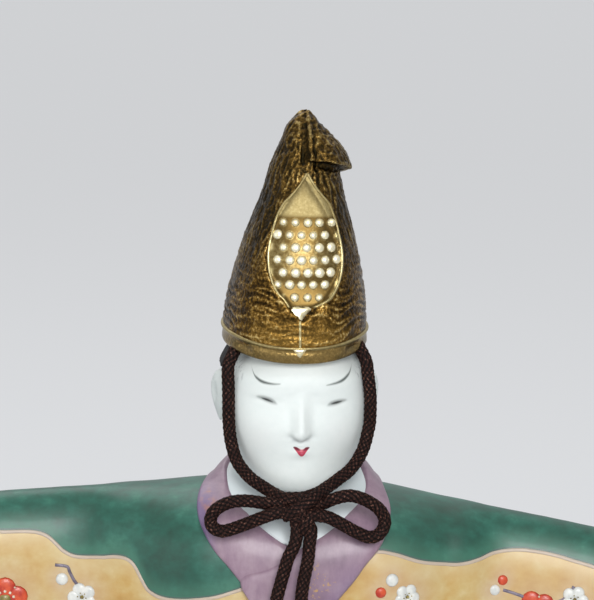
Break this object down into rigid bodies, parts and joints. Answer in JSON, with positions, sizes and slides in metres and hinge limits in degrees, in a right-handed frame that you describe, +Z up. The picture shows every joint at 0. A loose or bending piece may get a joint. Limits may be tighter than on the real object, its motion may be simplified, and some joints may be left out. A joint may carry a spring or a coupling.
{
  "type": "standing hina doll",
  "caption": "Emperor figure of a standing doll pair: spread sleeves, lapped collars, a tall folded cap tied by a braided cord in a bow, and a head on a turning peg.",
  "frame": {"origin": "centre of the base, on the surface the doll stands on", "axes": "+Z up, -Y towards the viewer who faces the doll, +X to that viewer's right"},
  "size_m": [0.184, 0.047, 0.2047],
  "materials": {
    "green_felt": "matte felt",
    "ochre_glaze": "satin glaze over a mottled wash",
    "belt_paint": "matte paint",
    "green_glaze": "satin glaze with an enamelled border",
    "mauve_glaze": "satin glaze",
    "white_glaze": "satin glaze",
    "cork": "raw cork",
    "peg_wood": "raw wood",
    "white_face": "smooth matte white",
    "black_hair": "satin black paint",
    "gilt": "antique gilding, crinkled",
    "brown_braid": "round braided cord"
  },
  "bodies": {
    "figure": {"robe": "green_glaze", "hakama": "ochre_glaze", "hakama_belt": "belt_paint", "belt_knot": "belt_paint", "mauve_collar_left": "mauve_glaze", "mauve_collar_right": "mauve_glaze", "white_collar_left": "white_glaze", "white_collar_right": "white_glaze", "base_felt": "green_felt"},
    "cork": {"neck_sleeve": "cork"},
    "head_and_cap": {"head": "white_face", "neck_peg": "peg_wood", "hair": "black_hair", "eboshi_crown": "gilt", "eboshi_band": "gilt", "chin_cord_left": "brown_braid", "chin_cord_right": "brown_braid", "cord_knot": "brown_braid", "bow_loop_left": "brown_braid", "bow_loop_right": "brown_braid", "cord_tail_left": "brown_braid", "cord_tail_right": "brown_braid", "tail_knot_left": "brown_braid", "tail_knot_right": "brown_braid"}
  },
  "joints": [
    {"name": "head_lift", "type": "slide", "parent": "figure", "child": "cork", "axis": [0, 0, 1], "range_m": [0, 0.024]},
    {"name": "head_turn", "type": "hinge", "parent": "cork", "child": "head_and_cap", "pos_m": [-0.0003, 0.0005, 0.131], "axis": [0, 0, 1], "range_deg": [-5, 5]}
  ]
}
